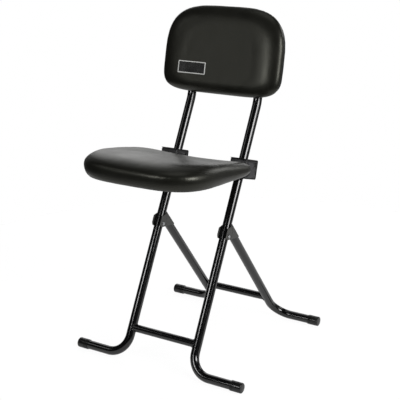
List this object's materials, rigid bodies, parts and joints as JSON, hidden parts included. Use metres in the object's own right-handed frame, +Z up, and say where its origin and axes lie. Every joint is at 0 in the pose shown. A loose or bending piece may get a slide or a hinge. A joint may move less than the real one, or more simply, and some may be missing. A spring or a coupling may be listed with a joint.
{
  "type": "folding sit-stand stool",
  "caption": "Folding sit-stand stool: leaning tube frame with a padded backrest, a rear leg frame that folds against it, and a padded seat that slides and locks at any height.",
  "frame": {"origin": "on the floor, under the middle of the open stool's box", "axes": "+Z up, the front of the stool faces -Y, +X to the right seen from the front"},
  "size_m": [0.548, 0.646, 0.9733],
  "materials": {
    "black_enamel": "gloss black enamel",
    "black_vinyl": "satin black vinyl over foam",
    "foot_rubber": "matt black rubber",
    "grey_powder_coat": "dark grey powder coat",
    "zinc_plate": "bright zinc plate",
    "black_nylon": "matt black nylon",
    "seat_board": "dark board"
  },
  "bodies": {
    "front_frame": {"front_leg_left": "black_enamel", "front_leg_right": "black_enamel", "front_crossbar": "black_enamel", "front_foot_cap_left": "foot_rubber", "front_foot_cap_right": "foot_rubber", "tube_plug_left": "black_nylon", "tube_plug_right": "black_nylon", "back_panel": "black_nylon", "back_cushion": "black_vinyl", "back_screw_1": "zinc_plate", "back_screw_2": "zinc_plate", "back_screw_3": "zinc_plate", "back_screw_4": "zinc_plate", "pivot_rivet_left": "zinc_plate", "pivot_rivet_right": "zinc_plate"},
    "rear_frame": {"rear_leg_left": "black_enamel", "rear_leg_right": "black_enamel", "rear_crossbar": "black_enamel", "rear_foot_cap_left": "foot_rubber", "rear_foot_cap_right": "foot_rubber", "pivot_bracket_left": "grey_powder_coat", "pivot_bracket_right": "grey_powder_coat"},
    "slider": {"slider_sleeve_left": "black_nylon", "slider_sleeve_right": "black_nylon", "hinge_rod": "zinc_plate", "rod_spacer_left": "black_nylon", "rod_spacer_right": "black_nylon", "rod_cap_left": "black_nylon", "rod_cap_right": "black_nylon"},
    "seat": {"seat_clamp_left": "grey_powder_coat", "seat_clamp_right": "grey_powder_coat", "lock_pin_left": "zinc_plate", "lock_pin_right": "zinc_plate", "seat_arm_left": "grey_powder_coat", "seat_arm_right": "grey_powder_coat", "seat_pan": "seat_board", "seat_cushion": "black_vinyl", "seat_screw_1": "zinc_plate", "seat_screw_2": "zinc_plate", "seat_screw_3": "zinc_plate", "seat_screw_4": "zinc_plate"}
  },
  "joints": [
    {"name": "rear_leg_fold", "type": "hinge", "parent": "front_frame", "child": "rear_frame", "pos_m": [0, -0.01213, 0.362], "axis": [-1, 0, 0], "range_deg": [0, 66]},
    {"name": "seat_height_slide", "type": "slide", "parent": "front_frame", "child": "slider", "axis": [0, 0.4617, 0.887], "range_m": [-0.12, 0.135]},
    {"name": "seat_tilt", "type": "hinge", "parent": "slider", "child": "seat", "pos_m": [0, 0.05346, 0.53067], "axis": [-1, 0, 0], "range_deg": [0, 25]}
  ]
}
